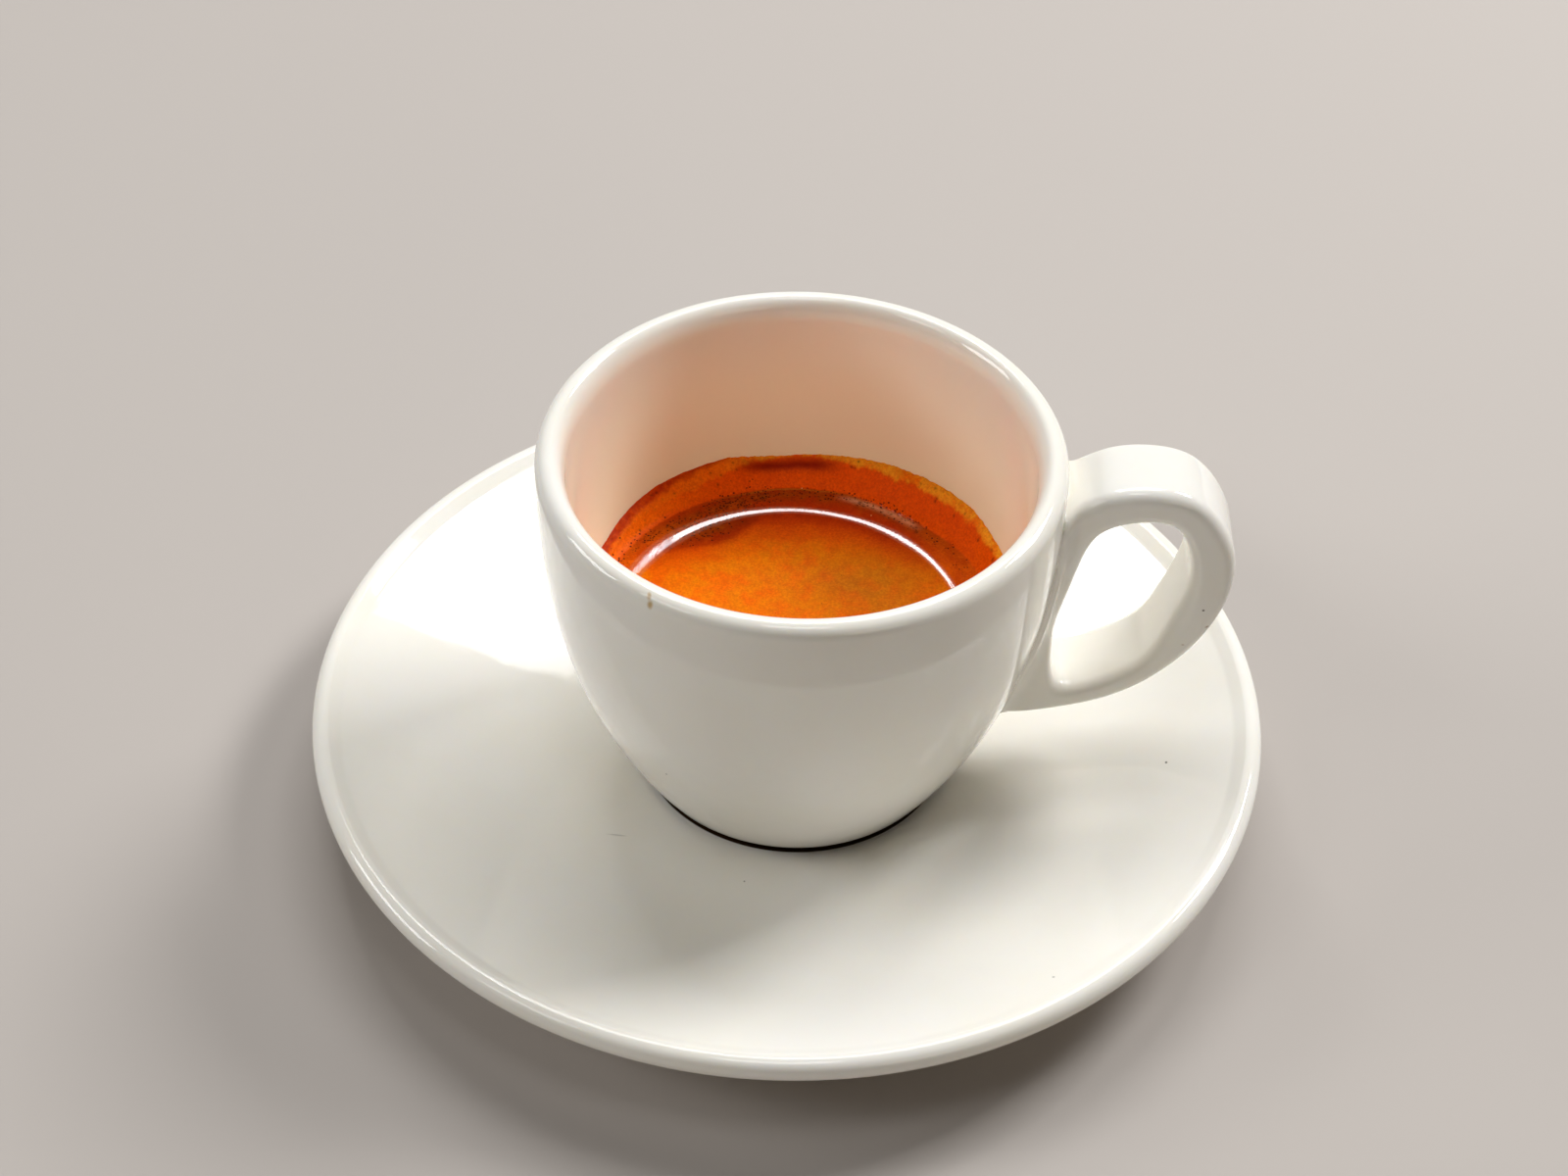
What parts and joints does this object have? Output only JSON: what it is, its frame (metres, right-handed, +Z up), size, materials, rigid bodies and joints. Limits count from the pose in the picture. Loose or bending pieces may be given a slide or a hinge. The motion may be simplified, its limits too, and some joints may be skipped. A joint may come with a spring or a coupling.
{
  "type": "espresso in a cup on a saucer",
  "caption": "Espresso with an orange-brown crema in a thick white porcelain cup with a loop handle, standing on its round saucer.",
  "frame": {"origin": "middle of the saucer's foot ring, on the table", "axes": "+Z up along the saucer's axis, +X towards the cup's handle, +Y away from the side seen in the picture"},
  "size_m": [0.12, 0.12, 0.0543],
  "materials": {
    "saucer_porcelain": "warm white porcelain under a clear glossy glaze",
    "cup_porcelain": "warm white porcelain under a clear glossy glaze, with a small dried drip of coffee on the lip",
    "coffee": "very dark brown, clear liquid",
    "crema": "fine wet foam, orange in the middle and red-brown towards the wall, with pinprick bubbles"
  },
  "bodies": {
    "root": {"saucer": "saucer_porcelain", "cup": "cup_porcelain", "coffee": "coffee", "crema": "crema"}
  },
  "joints": []
}
